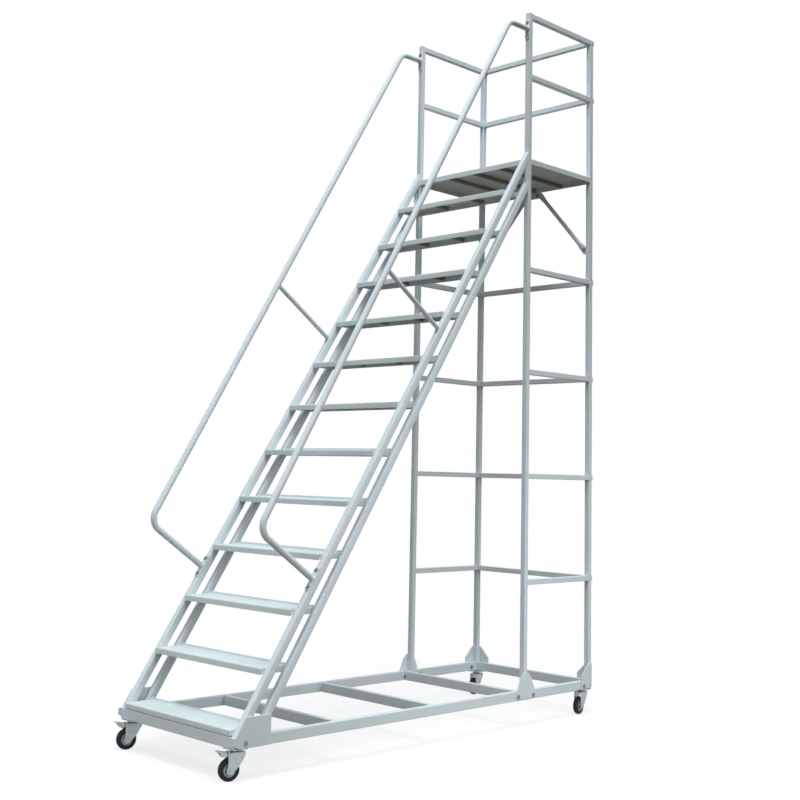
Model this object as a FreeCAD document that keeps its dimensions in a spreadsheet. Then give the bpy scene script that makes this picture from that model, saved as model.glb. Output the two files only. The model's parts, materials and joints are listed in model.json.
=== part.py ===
# Mobile platform ladder: stair, tower, guard rails, base frame and four swivel casters.
# Origin on the floor at the centre of the footprint, X up the stair, Y to the climber's left, Z up, in mm.
import math
import os
import re

import FreeCAD
import Part
import Sketcher

os.makedirs("parts", exist_ok=True)
doc = FreeCAD.newDocument("platform_ladder")
sheet = doc.addObject("Spreadsheet::Sheet", "dims")
names = []


def cell(alias, value, note):
    """Adds one driving dimension to the sheet."""
    names.append(alias)
    row = len(names)
    sheet.set(f"A{row}", alias)
    sheet.set(f"B{row}", str(value))
    sheet.set(f"C{row}", note)
    sheet.setAlias(f"B{row}", alias)


# Overall
cell("nose_x", -1318.8, "front edge of the lowest tread")
cell("half_wide", 435, "half the outer width of stair, tower and base")
cell("tube_wide", 30, "side of the square tube in posts, rungs, rails and stringers")
cell("plate_thick", 5, "thickness of gusset plates and flanges")
cell("sheet_thick", 3, "thickness of folded sheet")
# Base frame
cell("base_deep", 50, "depth of the base rails")
cell("crossbar_one_x", 615, "first crossbar behind the lowest tread edge")
cell("crossbar_two_x", 1305, "second crossbar behind the lowest tread edge")
cell("crossbar_three_x", 1990, "third crossbar behind the lowest tread edge")
# Stair
cell("tread_low_z", 222, "top of the lowest tread")
cell("rise", 250, "height between treads")
cell("going", 168, "run between treads")
cell("tread_deep", 152, "depth of a tread")
cell("tread_fold", 29, "depth of a tread's edges folded down")
cell("tread_upstand", 13, "height of a tread's rear edge folded up")
cell("rib_deep", 20, "depth of the ribs under treads and platform")
cell("chord_front_x", 24, "front stringer tube behind the tread edges, level")
cell("chord_gap", 105, "rear stringer tube behind the front one, level")
cell("link_wide", 22, "link plate between the stringer tubes at the post, along the stair")
# Tower
cell("post_back", 195, "front posts behind the highest tread's edge")
cell("tower_deep", 641, "front face of front posts to rear face of rear posts")
cell("deck_rise", 213, "top of the platform above the highest tread")
cell("deck_fold", 30, "depth of the platform's folded edges")
cell("rib_pitch", 195, "between the platform's ribs")
cell("rib_wide", 20, "width of a platform rib")
cell("rung_low_z", 794, "top of the lowest rung")
cell("rung_down", 629, "top of the highest rung below the platform")
cell("rung_over", 10, "side rungs beyond the rear posts")
cell("mid_high", 504, "top of the middle guard rail above the platform")
cell("guard_high", 867, "top of the top guard rail above the platform")
# Handrails
cell("hand_dia", 32, "handrail tube diameter")
cell("hand_down", 94, "handrail at the post below the top guard rail")
cell("hand_top_long", 168, "level length of the handrail ahead of the post")
cell("hand_foot_x", 452, "lower end on the stringer, behind the lowest tread edge")
cell("hand_off", 410, "lower bend off the stringer's front face")
cell("hand_bend", 70, "bend radius of the handrail")
cell("flange_long", 124, "length of the handrail's end flanges")
cell("stay_dia", 16, "handrail stay diameter")
cell("stay_x", 1302, "stay foot behind the lowest tread edge")
cell("stay_gap", 0.5, "clearance from the stay to the handrail")
# Gusset plates
cell("foot_nose", 13, "stair foot plate ahead of the lowest tread edge")
cell("foot_cut_long", 40, "length of the cut at the plate's lower front corner")
cell("foot_cut_high", 18, "height of that cut")
cell("foot_long", 206, "stair foot plate behind the lowest tread edge")
cell("foot_high", 83, "stair foot plate above the base rails")
cell("plate_lift", 7, "post plates above the underside of the base rails")
cell("plate_high", 94, "post plates above the base rails")
cell("plate_foot_wide", 160, "front post plate at the base rail")
cell("plate_neck_wide", 86, "front post plate at its shoulders")
cell("plate_tip_wide", 44, "front post plate at its top")
cell("plate_shoulder", 20, "shoulders below the top of the front post plate")
cell("corner_reach", 70, "rear post plates beyond the post")
cell("corner_neck", 6, "rear post plates beyond the post at the top")
cell("corner_side_high", 30, "straight side of the rear post plates above the base rails")
cell("corner_cut", 15, "cut corner of the rear post plates")
# Knee brace
cell("brace_dia", 25, "knee brace tube diameter")
cell("brace_flat_wide", 106, "flattened middle of the knee brace")
cell("brace_flat_deep", 42, "depth of the flattened middle")
cell("brace_flat_thick", 16, "thickness of the flattened middle and feet")
cell("brace_down", 455, "centre of the knee brace feet below the platform")
cell("shoe_wide", 26, "width of the knee brace feet")
cell("shoe_high", 44, "height of the knee brace feet")
# Casters
cell("wheel_dia", 100, "wheel diameter")
cell("wheel_wide", 28, "wheel width")
cell("core_dia", 61, "wheel core diameter")
cell("core_inset", 2, "wheel core inside the tyre's sides")
cell("trail", 30, "axle behind the swivel")
cell("axle_dia", 10, "axle diameter")
cell("pin_dia", 12, "kingpin diameter")
cell("pin_deep", 9, "kingpin below the top of the fork crown")
cell("run_gap", 0.1, "running clearance on radius")
cell("mount_wide", 84, "side of the square caster plate")
cell("mount_thick", 4, "thickness of the caster plate")
cell("race_dia", 44, "fixed race diameter")
cell("race_deep", 4, "fixed race below the caster plate")
cell("swivel_gap", 5, "gap between the fixed race and the fork")
cell("crown_dia", 44, "raised ring on top of the fork")
cell("crown_deep", 3, "height of that ring")
cell("fork_wide", 45, "width over the fork")
cell("fork_thick", 3, "fork sheet thickness")
cell("fork_heel", 41, "fork ahead of the swivel")
cell("fork_toe", 42, "fork behind the swivel")
cell("leg_drop", 24, "straight toe of the fork ends above the axle")
cell("leg_end_dia", 36, "round lower end of the fork legs")
cell("heel_deep", 14, "straight heel of the fork")
cell("pedal_back", 34, "pedal pivot behind the swivel")
cell("pedal_down", 12, "pedal pivot below the top of the crown")
cell("pedal_pin_dia", 6, "pedal pivot diameter")
cell("pedal_long", 96, "pedal tip behind the swivel")
cell("pedal_wide", 44, "width of the pedal plate")
cell("pedal_arm_wide", 28, "width of the pedal arm")
cell("pedal_arm_thick", 6, "thickness of the pedal arm")
cell("pedal_gap", 8, "pedal plate behind the fork")
cell("pedal_lift", 6, "underside of the pedal plate above its pivot")
cell("shoe_reach", 60, "tip of the brake shoe behind the swivel")
cell("shoe_drop", 14, "tip of the brake shoe below the pedal pivot")
cell("front_turn", 166, "front wheels turned from straight ahead, degrees")
cell("rear_turn", 189, "rear wheels turned from straight ahead, degrees")
doc.recompute()
aliases = re.compile(r"\b(" + "|".join(names) + r")\b")
parts = []
SIDES = (("right", -1), ("left", 1))
TREADS = 12
RUNGS = 4


def full(text):
    """Turns plain cell names into references to the sheet."""
    return aliases.sub(r"dims.\1", str(text))


def size(text):
    """Value of an expression over the sheet."""
    return float(sheet.evalExpression(str(text)))


def bind(obj, **props):
    """Binds properties to expressions over the sheet; x, y and z are the placement."""
    for name, text in props.items():
        obj.setExpression("Placement.Base." + name if name in ("x", "y", "z") else name, full(text))
    return obj


def turned(obj, axis, angle):
    """Binds the turn of an object about one axis."""
    obj.Placement.Rotation = FreeCAD.Rotation(FreeCAD.Vector(*axis), 0)
    for letter, share in zip("xyz", axis):
        obj.setExpression(f"Placement.Rotation.Axis.{letter}", str(share))
    obj.setExpression("Placement.Rotation.Angle", full(angle))
    return obj


def box(name, x, y, z, size_x, size_y, size_z):
    """A bar or plate along the axes, given by its low corner and sizes."""
    obj = doc.addObject("Part::Box", name)
    return bind(obj, x=x, y=y, z=z, Length=size_x, Width=size_y, Height=size_z)


def rod(name, x, y, z, radius, length):
    """A round bar from a point up the Z axis."""
    obj = doc.addObject("Part::Cylinder", name)
    return bind(obj, x=x, y=y, z=z, Radius=radius, Height=length)


def across(name, x, low_y, z, radius, length):
    """A round bar from a point along the Y axis."""
    obj = rod(name, x, low_y, z, radius, length)
    obj.Placement.Rotation = FreeCAD.Rotation(FreeCAD.Vector(1, 0, 0), -90)
    return obj


def join(name, *members):
    """Fuses touching solids into one."""
    obj = doc.addObject("Part::MultiFuse", name)
    obj.Shapes = list(members)
    obj.Refine = True
    return obj


def cut(name, base, tool):
    """Base less tool."""
    obj = doc.addObject("Part::Cut", name)
    obj.Base = base
    obj.Tool = tool
    return obj


def group(label, members):
    """One node of separate like solids."""
    obj = doc.addObject("Part::Compound", "node_" + label)
    obj.Links = members
    obj.Label = label
    parts.append(obj)
    return obj


def single(label, obj):
    """One node of one solid."""
    obj.Label = label
    parts.append(obj)
    return obj


def hold(sketch, geo, end, level, up):
    """Fixes one sketch point to two expressions."""
    for kind, text in (("DistanceX", level), ("DistanceY", up)):
        index = sketch.addConstraint(Sketcher.Constraint(kind, -1, 1, geo, end, size(text)))
        sketch.setExpression(f"Constraints[{index}]", full(text))


def flat_sketch(body, plane, name, offset):
    """An empty sketch on one of the body's own planes, moved along its normal."""
    sketch = body.newObject("Sketcher::SketchObject", name)
    face = [f for f in body.Origin.OriginFeatures if f.Role == plane][0]
    sketch.AttachmentSupport = [(face, "")]
    sketch.MapMode = "FlatFace"
    sketch.setExpression("AttachmentOffset.Base.z", full(offset))
    return sketch


def outline(body, plane, name, points, offset):
    """A closed sketch whose corners are each held by two sheet expressions."""
    sketch = flat_sketch(body, plane, name, offset)
    guess = [FreeCAD.Vector(size(level), size(up), 0) for level, up in points]
    count = len(points)
    for i in range(count):
        sketch.addGeometry(Part.LineSegment(guess[i], guess[(i + 1) % count]), False)
    for i in range(count):
        sketch.addConstraint(Sketcher.Constraint("Coincident", i, 2, (i + 1) % count, 1))
    for i, (level, up) in enumerate(points):
        hold(sketch, i, 1, level, up)
    return sketch


def plate(name, plane, points, offset, thick):
    """A body padded from an outline."""
    body = doc.addObject("PartDesign::Body", name)
    pad = body.newObject("PartDesign::Pad", name + "_pad")
    pad.Profile = outline(body, plane, name + "_outline", points, offset)
    pad.setExpression("Length", full(thick))
    return body


def side_plate(name, side, points, thick="tube_wide", outward="0"):
    """A plate or bar in a side plane, its outer face on the frame's side or moved outward."""
    outer = f"(half_wide + {outward})"
    offset = f"{outer} - {thick}" if side < 0 else f"-{outer}"
    return plate(name, "XZ_Plane", points, offset, thick)


def side_y(side, thick="tube_wide"):
    """Low Y of a bar whose outer face is on the frame's side."""
    return "-half_wide" if side < 0 else f"half_wide - {thick}"


def rounded_corner(spots, i, radius):
    """Where a line through the spots leaves corner i, and the arc that rounds it."""
    back = (spots[i - 1] - spots[i]).normalize()
    on = (spots[i + 1] - spots[i]).normalize()
    half = back.getAngle(on) / 2
    reach = radius / math.tan(half)
    inward = (back + on).normalize()
    centre = spots[i] + inward * (radius / math.sin(half))
    leave = spots[i] + back * reach
    meet = spots[i] + on * reach
    return leave, meet, Part.Arc(leave, centre - inward * radius, meet)


def bend_line(sketch, corners, radius):
    """A line through four corners with its two inner corners rounded, each held by expressions."""
    spots = [FreeCAD.Vector(size(level), size(up), 0) for level, up in corners]
    first_leave, first_meet, first_arc = rounded_corner(spots, 1, size(radius))
    second_leave, second_meet, second_arc = rounded_corner(spots, 2, size(radius))
    top = sketch.addGeometry(Part.LineSegment(spots[0], first_leave), False)
    upper = sketch.addGeometry(first_arc, False)
    long = sketch.addGeometry(Part.LineSegment(first_meet, second_leave), False)
    lower = sketch.addGeometry(second_arc, False)
    leg = sketch.addGeometry(Part.LineSegment(second_meet, spots[3]), False)
    joints = ((top, 2, upper, first_leave), (long, 1, upper, first_meet), (long, 2, lower, second_leave),
              (leg, 1, lower, second_meet))
    for line, line_end, arc, touch in joints:
        arc_end = 1 if sketch.getPoint(arc, 1).distanceToPoint(touch) < 1e-3 else 2
        sketch.addConstraint(Sketcher.Constraint("Tangent", line, line_end, arc, arc_end))
    for arc in (upper, lower):
        index = sketch.addConstraint(Sketcher.Constraint("Radius", arc, size(radius)))
        sketch.setExpression(f"Constraints[{index}]", full(radius))
    hold(sketch, top, 1, *corners[0])
    hold(sketch, leg, 2, *corners[3])
    for i, pair in ((1, (top, long)), (2, (long, leg))):
        corner = sketch.addGeometry(Part.Point(spots[i]), True)
        for line in pair:
            sketch.addConstraint(Sketcher.Constraint("PointOnObject", corner, 1, line))
        hold(sketch, corner, 1, *corners[i])


# Levels and places that follow from the driving sizes
base_top = "(tread_low_z - tread_fold)"
base_low = f"({base_top} - base_deep)"
highest_x = f"(nose_x + {TREADS - 1} * going)"
deck_z = f"(tread_low_z + {TREADS - 1} * rise + deck_rise)"
post_front = f"({highest_x} + post_back)"
tower_back = f"({post_front} + tower_deep)"
rear_post_x = f"({tower_back} - tube_wide)"
inner = "(half_wide - tube_wide)"
slope = "(rise / going)"
stair_hyp = "sqrt(rise ^ 2 + going ^ 2)"
run_share = f"(going / {stair_hyp})"
climb_share = f"(rise / {stair_hyp})"
chord_level = f"(tube_wide / {climb_share})"
stair_lean = "atan(rise / going)"


def chord_z(x, back="chord_front_x"):
    """Height of a stringer tube's front face at a place along X."""
    return f"(tread_low_z + ({x} - nose_x - {back}) * {slope})"


def chord_x(z, back="chord_front_x"):
    """Place along X of a stringer tube's front face at a height."""
    return f"(nose_x + {back} + ({z} - tread_low_z) / {slope})"


# Base frame
front_rail = box("front_rail", "nose_x", "-half_wide", base_low, "tube_wide", "2 * half_wide", "base_deep")
single("base_front_rail", front_rail)
rear_rail = box("rear_rail", rear_post_x, f"-{inner}", base_low, "tube_wide", f"2 * {inner}", "base_deep")
single("base_rear_rail", rear_rail)
for name, side in SIDES:
    rail = box(f"side_rail_{name}", "nose_x + tube_wide", side_y(side), base_low,
               f"{rear_post_x} - (nose_x + tube_wide)", "tube_wide", "base_deep")
    single(f"base_side_rail_{name}", rail)
crossbars = []
for number in ("one", "two", "three"):
    crossbars.append(box(f"crossbar_{number}", f"nose_x + crossbar_{number}_x", f"-{inner}", base_low,
                         "tube_wide", f"2 * {inner}", "base_deep"))
group("base_crossbars", crossbars)

# Tower posts; the rear ones are cut into lengths by the side rungs that run past them
rung_step = f"(({deck_z} - rung_down - rung_low_z) / {RUNGS - 1})"
rungs = [f"(rung_low_z + {i} * {rung_step})" for i in range(RUNGS)]
guards = [f"({deck_z} + mid_high)", f"({deck_z} + guard_high)"]
for name, side in SIDES:
    single(f"front_post_{name}", box(f"front_post_bar_{name}", post_front, side_y(side), base_top,
                                     "tube_wide", "tube_wide", f"{guards[1]} - {base_top}"))
    lengths = []
    foot = base_low
    for i, top in enumerate(rungs + guards):
        lengths.append(box(f"rear_post_{name}_{i}", rear_post_x, side_y(side), foot,
                           "tube_wide", "tube_wide", f"{top} - tube_wide - {foot}"))
        foot = top
    group(f"rear_post_{name}", lengths)

# Rungs and guard rails
def side_bar(name, side, top):
    """A rung or rail from the front post past the rear one."""
    return box(name, f"{post_front} + tube_wide", side_y(side), f"{top} - tube_wide",
               "tower_deep - tube_wide + rung_over", "tube_wide", "tube_wide")


def rear_bar(name, top):
    """A rung or rail between the rear posts."""
    return box(name, rear_post_x, f"-{inner}", f"{top} - tube_wide",
               "tube_wide", f"2 * {inner}", "tube_wide")


for kind, tops in (("tower_rungs", rungs), ("guard_rails", guards)):
    for name, side in SIDES:
        group(f"{kind}_{name}", [side_bar(f"{kind}_{name}_{i}", side, top) for i, top in enumerate(tops)])
    group(f"{kind}_rear", [rear_bar(f"{kind}_rear_{i}", top) for i, top in enumerate(tops)])

# Stringers, each two parallel sloping tubes from the base rail to the front post
rear_chord = "(chord_front_x + chord_gap)"
for name, side in SIDES:
    for which, back in (("front", "chord_front_x"), ("rear", rear_chord)):
        start = chord_x(base_top, back)
        points = [(start, base_top), (f"{start} + {chord_level}", base_top),
                  (post_front, chord_z(f"{post_front} - {chord_level}", back)),
                  (post_front, chord_z(post_front, back))]
        single(f"stringer_{which}_{name}", side_plate(f"chord_{which}_{name}", side, points))

# Link plates that close the gap between the stringer tubes at the front posts
links = []
for name, side in SIDES:
    ahead = f"({post_front} - link_wide)"
    points = [(post_front, chord_z(post_front, rear_chord)),
              (post_front, chord_z(f"{post_front} - {chord_level}")),
              (ahead, chord_z(f"{ahead} - {chord_level}")), (ahead, chord_z(ahead, rear_chord))]
    links.append(side_plate(f"link_{name}", side, points, "plate_thick"))

# Treads, pressed as shallow trays with all edges folded down, the rear one also up, and two ribs below
treads = []
for i in range(TREADS):
    top = f"(tread_low_z + {i} * rise)"
    nose = f"(nose_x + {i} * going)"
    low = f"{top} - tread_fold"
    outer = box(f"tread_block_{i}", nose, f"-{inner}", low, "tread_deep", f"2 * {inner}", "tread_fold")
    upstand = box(f"tread_upstand_{i}", f"{nose} + tread_deep - sheet_thick", f"-{inner}", low,
                  "sheet_thick", f"2 * {inner}", "tread_fold + tread_upstand")
    hollow = box(f"tread_hollow_{i}", f"{nose} + sheet_thick", f"-{inner} + sheet_thick",
                 f"{low} - sheet_thick", "tread_deep - 2 * sheet_thick", f"2 * {inner} - 2 * sheet_thick",
                 "tread_fold")
    tray = cut(f"tread_tray_{i}", join(f"tread_fold_{i}", outer, upstand), hollow)
    ribs = []
    for name, side in SIDES:
        ribs.append(box(f"tread_rib_{i}_{name}", nose, f"{side} * {inner} / 3 - sheet_thick / 2",
                        f"{top} - rib_deep", "tread_deep", "sheet_thick", "rib_deep"))
    treads.append(join(f"tread_{i}", tray, *ribs))
group("treads", treads)

# Platform, a tray notched round the four posts, with ribs along it
deck_low = f"({deck_z} - deck_fold)"
behind_post = f"({post_front} + tube_wide)"
deck_long = box("deck_long", post_front, f"-{inner}", deck_low, "tower_deep", f"2 * {inner}", "deck_fold")
deck_broad = box("deck_broad", behind_post, "-half_wide", deck_low, "tower_deep - 2 * tube_wide",
                 "2 * half_wide", "deck_fold")
under_sheet = f"{deck_low} - sheet_thick"
hollow_long = box("hollow_long", f"{post_front} + sheet_thick", f"-{inner} + sheet_thick", under_sheet,
                  "tower_deep - 2 * sheet_thick", f"2 * {inner} - 2 * sheet_thick", "deck_fold")
hollow_broad = box("hollow_broad", f"{behind_post} + sheet_thick", "-half_wide + sheet_thick", under_sheet,
                   "tower_deep - 2 * tube_wide - 2 * sheet_thick", "2 * half_wide - 2 * sheet_thick",
                   "deck_fold")
deck_hollow = join("deck_hollow", hollow_long, hollow_broad)
single("platform_deck", cut("deck_tray", join("deck_block", deck_long, deck_broad), deck_hollow))
ribs = []
for i in (-1, 0, 1):
    ribs.append(box(f"deck_rib_{i + 1}", f"{post_front} + sheet_thick", f"{i} * rib_pitch - rib_wide / 2",
                    f"{deck_z} - sheet_thick - rib_deep", "tower_deep - 2 * sheet_thick", "rib_wide",
                    "rib_deep"))
group("platform_ribs", ribs)

# Gusset plates bolted outside the corners
foot_plates = []
for name, side in SIDES:
    foot_top = f"({base_top} + foot_high)"
    nose = "(nose_x - foot_nose)"
    points = [(f"{nose} + foot_cut_long", base_low), ("nose_x + foot_long", base_low),
              ("nose_x + foot_long", foot_top), (chord_x(foot_top), foot_top), (chord_x(base_top), base_top),
              (nose, base_top), (nose, f"{base_low} + foot_cut_high")]
    foot_plates.append(side_plate(f"stair_foot_{name}", side, points, "plate_thick", "plate_thick"))
group("stair_foot_plates", foot_plates)
plate_low = f"({base_low} + plate_lift)"
plate_top = f"({base_top} + plate_high)"
front_plates = []
rear_plates = []
for name, side in SIDES:
    middle = f"({post_front} + tube_wide / 2)"
    points = [(f"{middle} - plate_foot_wide / 2", plate_low), (f"{middle} + plate_foot_wide / 2", plate_low),
              (f"{middle} + plate_foot_wide / 2", base_top),
              (f"{middle} + plate_neck_wide / 2", f"{plate_top} - plate_shoulder"),
              (f"{middle} + plate_tip_wide / 2", plate_top), (f"{middle} - plate_tip_wide / 2", plate_top),
              (f"{middle} - plate_neck_wide / 2", f"{plate_top} - plate_shoulder"),
              (f"{middle} - plate_foot_wide / 2", base_top)]
    front_plates.append(side_plate(f"front_foot_{name}", side, points, "plate_thick", "plate_thick"))
    points = [(f"{rear_post_x} - corner_reach", plate_low), (f"{tower_back} - corner_cut", plate_low),
              (tower_back, f"{plate_low} + corner_cut"), (tower_back, plate_top),
              (f"{rear_post_x} - corner_neck", plate_top),
              (f"{rear_post_x} - corner_reach", f"{base_top} + corner_side_high")]
    rear_plates.append(side_plate(f"rear_foot_{name}", side, points, "plate_thick", "plate_thick"))
    points = [(f"{inner} - corner_reach", plate_low), ("half_wide", plate_low), ("half_wide", plate_top),
              (f"{inner} - corner_neck", plate_top),
              (f"{inner} - corner_reach", f"{base_top} + corner_side_high")]
    if side < 0:
        points = [(f"-({level})", up) for level, up in reversed(points)]
    rear_plates.append(plate(f"back_foot_{name}", "YZ_Plane", points, tower_back, "plate_thick"))
group("front_post_plates", front_plates + links)
group("rear_post_plates", rear_plates)

# Knee brace under the platform's rear edge, flattened in the middle and at its feet
brace_x = f"({tower_back} - tube_wide / 2)"
brace_top = f"({deck_low} - brace_flat_deep / 2)"
brace_foot = f"({deck_z} - brace_down)"
foot_y = f"({inner} - shoe_wide / 2)"
knee_y = "(brace_flat_wide / 2 - brace_flat_thick / 2)"
brace_leg = f"sqrt(({foot_y} - {knee_y}) ^ 2 + ({brace_top} - {brace_foot}) ^ 2)"
brace_lean = f"atan(({foot_y} - {knee_y}) / ({brace_top} - {brace_foot}))"
flat_x = f"{brace_x} - brace_flat_thick / 2"
brace = [box("brace_flat", flat_x, "-brace_flat_wide / 2", f"{deck_low} - brace_flat_deep",
             "brace_flat_thick", "brace_flat_wide", "brace_flat_deep")]
for name, side in SIDES:
    leg = rod(f"brace_leg_{name}", brace_x, f"{side} * {foot_y}", brace_foot, "brace_dia / 2", brace_leg)
    brace.append(turned(leg, (1, 0, 0), f"{side} * {brace_lean}"))
    low_y = f"-{inner}" if side < 0 else f"{inner} - shoe_wide"
    brace.append(box(f"brace_shoe_{name}", flat_x, low_y, f"{brace_foot} - shoe_high / 2",
                     "brace_flat_thick", "shoe_wide", "shoe_high"))
single("knee_brace", join("knee_brace_tube", *brace))

# Handrails, one bent tube a side from the post to the stringer, with a flange at each end
hand_z = f"({guards[1]} - hand_down)"
hand_top_x = f"({post_front} - hand_top_long)"
hand_end_x = "(nose_x + hand_foot_x)"
hand_end_z = chord_z(hand_end_x)
hand_path = [(post_front, hand_z), (hand_top_x, hand_z),
             (f"{hand_end_x} - hand_off * {climb_share}", f"{hand_end_z} + hand_off * {run_share}"),
             (hand_end_x, hand_end_z)]
for name, side in SIDES:
    body = doc.addObject("PartDesign::Body", f"handrail_{name}_tube")
    middle = f"{side} * (half_wide - tube_wide / 2)"
    path = flat_sketch(body, "XZ_Plane", f"handrail_{name}_path", f"-({middle})")
    bend_line(path, hand_path, "hand_bend")
    ring = flat_sketch(body, "YZ_Plane", f"handrail_{name}_ring", post_front)
    centre = FreeCAD.Vector(size(middle), size(hand_z), 0)
    ring.addGeometry(Part.Circle(centre, FreeCAD.Vector(0, 0, 1), size("hand_dia") / 2), False)
    hold(ring, 0, 3, middle, hand_z)
    index = ring.addConstraint(Sketcher.Constraint("Diameter", 0, size("hand_dia")))
    ring.setExpression(f"Constraints[{index}]", full("hand_dia"))
    pipe = body.newObject("PartDesign::AdditivePipe", f"handrail_{name}_pipe")
    pipe.Profile = ring
    pipe.Spine = path
    top_flange = box(f"top_flange_{name}", f"{post_front} - plate_thick", side_y(side),
                     f"{hand_z} - flange_long / 2", "plate_thick", "tube_wide", "flange_long")
    corners = []
    for end, off in ((-1, 0), (1, 0), (1, 1), (-1, 1)):
        along = f"{end} * flange_long / 2"
        out = f"{off} * plate_thick"
        corners.append((f"{hand_end_x} + {along} * {run_share} - {out} * {climb_share}",
                        f"{hand_end_z} + {along} * {climb_share} + {out} * {run_share}"))
    low_flange = side_plate(f"low_flange_{name}", side, corners)
    single(f"handrail_{name}", join(f"handrail_{name}_whole", body, top_flange, low_flange))

# Handrail stays, square to the stringer and as long as the space to the handrail
top_off = f"(({hand_z} - {chord_z(hand_top_x)}) * {run_share})"
top_along = f"(({hand_top_x} - {hand_end_x}) * {run_share} + ({hand_z} - {hand_end_z}) * {climb_share})"
stay_along = f"((stay_x - hand_foot_x) / {run_share})"
stay_long = f"hand_off + ({top_off} - hand_off) * {stay_along} / {top_along} - hand_dia / 2 - stay_gap"
for name, side in SIDES:
    stay_foot = "(nose_x + stay_x)"
    stay = rod(f"stay_{name}", stay_foot, f"{side} * (half_wide - tube_wide / 2)", chord_z(stay_foot),
               "stay_dia / 2", stay_long)
    single(f"handrail_stay_{name}", turned(stay, (0, 1, 0), f"-({stair_lean})"))

# Casters, each made about its swivel axis with the wheel trailing along its own X, then turned and moved
axle_z = "(wheel_dia / 2)"
mount_low = f"({base_low} - mount_thick)"
race_low = f"({mount_low} - race_deep)"
crown_top = f"({race_low} - swivel_gap)"
fork_top = f"({crown_top} - crown_deep)"
fork_half = "(fork_wide / 2)"
pedal_z = f"({crown_top} - pedal_down)"
caster_y = "(half_wide - mount_wide / 2)"
PLACES = (("front", "(nose_x + mount_wide / 2)", "front_turn"),
          ("rear", f"({tower_back} - mount_wide / 2)", "rear_turn"))


def upright(name, low, high, radius):
    """A round bar on the swivel axis."""
    return rod(name, "0", "0", low, radius, f"{high} - {low}")


def wheel_disc(name, radius, half):
    """A disc on the axle, centred on the wheel's plane."""
    return across(name, "trail", f"-({half})", axle_z, radius, f"2 * ({half})")


def mount(key):
    """Caster plate with the fixed race and the kingpin."""
    top = box(f"mount_plate_{key}", "-mount_wide / 2", "-mount_wide / 2", mount_low,
              "mount_wide", "mount_wide", "mount_thick")
    race = upright(f"race_{key}", race_low, mount_low, "race_dia / 2")
    pin = upright(f"kingpin_{key}", f"({crown_top} - pin_deep)", race_low, "pin_dia / 2")
    return join(f"mount_{key}", top, race, pin)


def fork(key, braked):
    """Two cheeks under a bridge and crown, with the axle through them."""
    leg = "(leg_end_dia / 2)"
    cheek = [("-fork_heel", fork_top), ("fork_toe", fork_top), ("fork_toe", f"{axle_z} + leg_drop"),
             (f"trail + {leg}", axle_z), (f"trail - {leg}", axle_z),
             ("-fork_heel", f"{fork_top} - heel_deep")]
    solids = [upright(f"crown_{key}", fork_top, crown_top, "crown_dia / 2"),
              box(f"bridge_{key}", "-fork_heel", f"-{fork_half}", f"{fork_top} - fork_thick",
                  "fork_heel + fork_toe", "fork_wide", "fork_thick"),
              wheel_disc(f"axle_{key}", "axle_dia / 2", fork_half)]
    for i, low_y in enumerate((f"-{fork_half}", f"{fork_half} - fork_thick")):
        solids.append(plate(f"cheek_{key}_{i}", "XZ_Plane", cheek, f"-({low_y}) - fork_thick", "fork_thick"))
        solids.append(across(f"leg_end_{key}_{i}", "trail", low_y, axle_z, leg, "fork_thick"))
    hole = upright(f"kingpin_hole_{key}", f"({crown_top} - 2 * pin_deep)", f"({crown_top} + pin_deep)",
                   "pin_dia / 2 + run_gap")
    if braked:
        pivot = across(f"pivot_hole_{key}", "pedal_back", "-fork_wide", pedal_z,
                       "pedal_pin_dia / 2 + run_gap", "2 * fork_wide")
        hole = join(f"fork_holes_{key}", hole, pivot)
    return cut(f"fork_{key}", join(f"fork_block_{key}", *solids), hole)


def pedal(key):
    """Brake pedal: pivot, arm with its shoe, and the foot plate."""
    plate_x = "(fork_toe + pedal_gap)"
    pivot = across(f"pedal_pivot_{key}", "pedal_back", f"-{fork_half}", pedal_z, "pedal_pin_dia / 2",
                   "fork_wide")
    heel = "(pedal_back - pedal_arm_thick / 2)"
    low = f"({pedal_z} - pedal_arm_thick / 2)"
    top = f"({pedal_z} + pedal_arm_thick / 2)"
    seat = f"({pedal_z} + pedal_lift)"
    arm = [(heel, low), ("shoe_reach", f"{pedal_z} - shoe_drop"), ("shoe_reach + shoe_drop", seat),
           (plate_x, seat), (plate_x, top), (heel, top)]
    body = plate(f"pedal_arm_{key}", "XZ_Plane", arm, "-pedal_arm_wide / 2", "pedal_arm_wide")
    foot = box(f"pedal_plate_{key}", plate_x, "-pedal_wide / 2", seat, f"pedal_long - {plate_x}",
               "pedal_wide", "fork_thick")
    return join(f"pedal_{key}", pivot, body, foot)


mounts = []
for end, place_x, turn in PLACES:
    for name, side in SIDES:
        key = f"{end}_{name}"
        braked = end == "front"
        tyre = cut(f"tyre_{key}", wheel_disc(f"tyre_disc_{key}", axle_z, "wheel_wide / 2"),
                   wheel_disc(f"tyre_bore_{key}", "core_dia / 2", "wheel_wide"))
        disc = wheel_disc(f"core_disc_{key}", "core_dia / 2", "wheel_wide / 2 - core_inset")
        bore = wheel_disc(f"core_bore_{key}", "axle_dia / 2 + run_gap", "wheel_wide")
        core = cut(f"core_{key}", disc, bore)
        made = {f"caster_fork_{key}": fork(key, braked), f"caster_tyre_{key}": tyre,
                f"caster_core_{key}": core}
        if braked:
            made[f"brake_pedal_{key}"] = pedal(key)
        for label, obj in made.items():
            turned(bind(obj, x=place_x, y=f"{side} * {caster_y}"), (0, 0, 1), turn)
            single(label, obj)
        mounts.append(bind(mount(key), x=place_x, y=f"{side} * {caster_y}"))
group("caster_mounts", mounts)

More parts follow.
